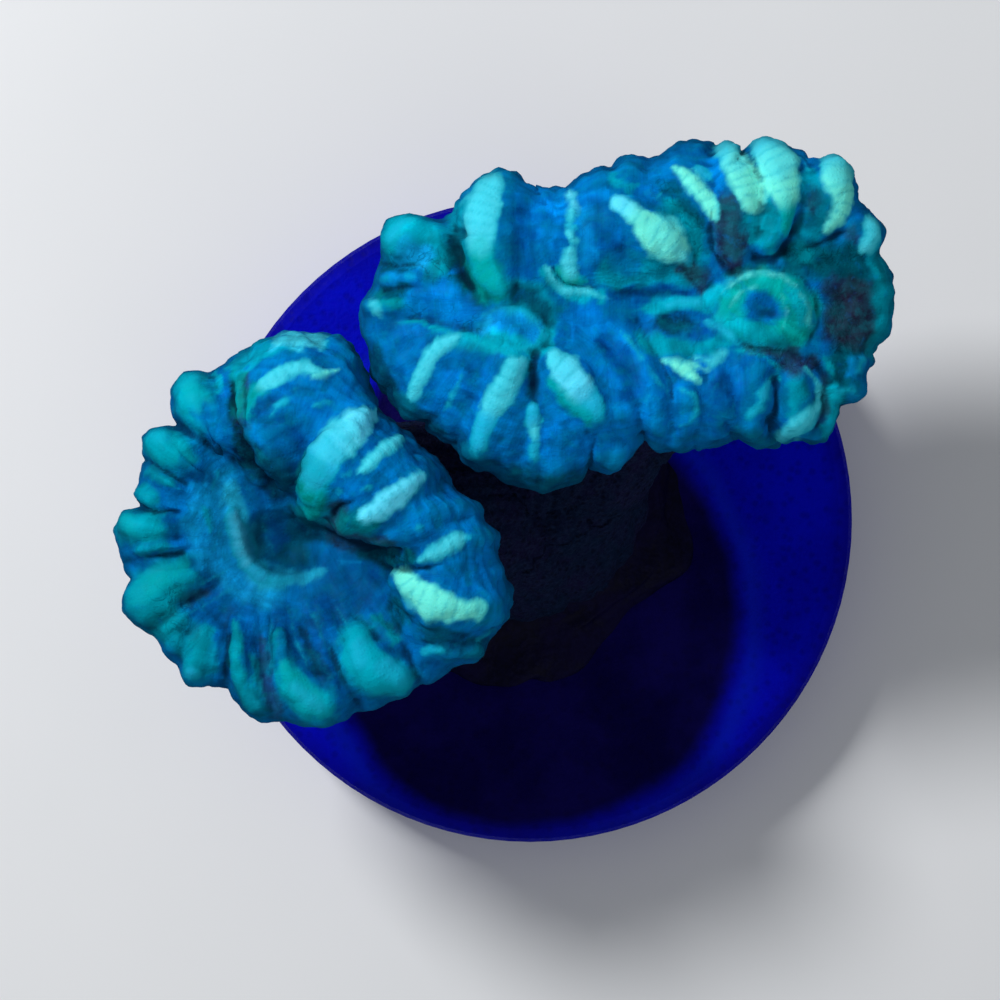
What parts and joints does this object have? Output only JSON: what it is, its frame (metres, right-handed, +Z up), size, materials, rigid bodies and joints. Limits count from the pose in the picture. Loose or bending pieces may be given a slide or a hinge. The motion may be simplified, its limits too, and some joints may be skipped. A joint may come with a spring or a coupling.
{
  "type": "candy cane coral",
  "caption": "Cutting of a candy cane coral with swollen, folded polyp heads on a forked stony stem, glued to a round ceramic disc.",
  "frame": {"origin": "middle of the disc's flat underside", "axes": "+Z up out of the disc, towards the polyp heads; +X along the spread of the two heads, towards the two-mouthed head's far end"},
  "size_m": [0.0351, 0.0332, 0.0267],
  "materials": {
    "ceramic_disc": "deep blue unglazed ceramic, satin",
    "gel_glue": "cured gel glue, soft gloss",
    "skeleton": "dark ribbed coral skeleton, rough",
    "polyp_flesh": "wet translucent flesh, deep blue with pale mint folds"
  },
  "bodies": {
    "root": {"frag_disc": "ceramic_disc", "glue_pad": "gel_glue", "trunk": "skeleton", "left_branch": "skeleton", "right_branch": "skeleton", "left_polyp": "polyp_flesh", "right_polyp": "polyp_flesh"}
  },
  "joints": []
}
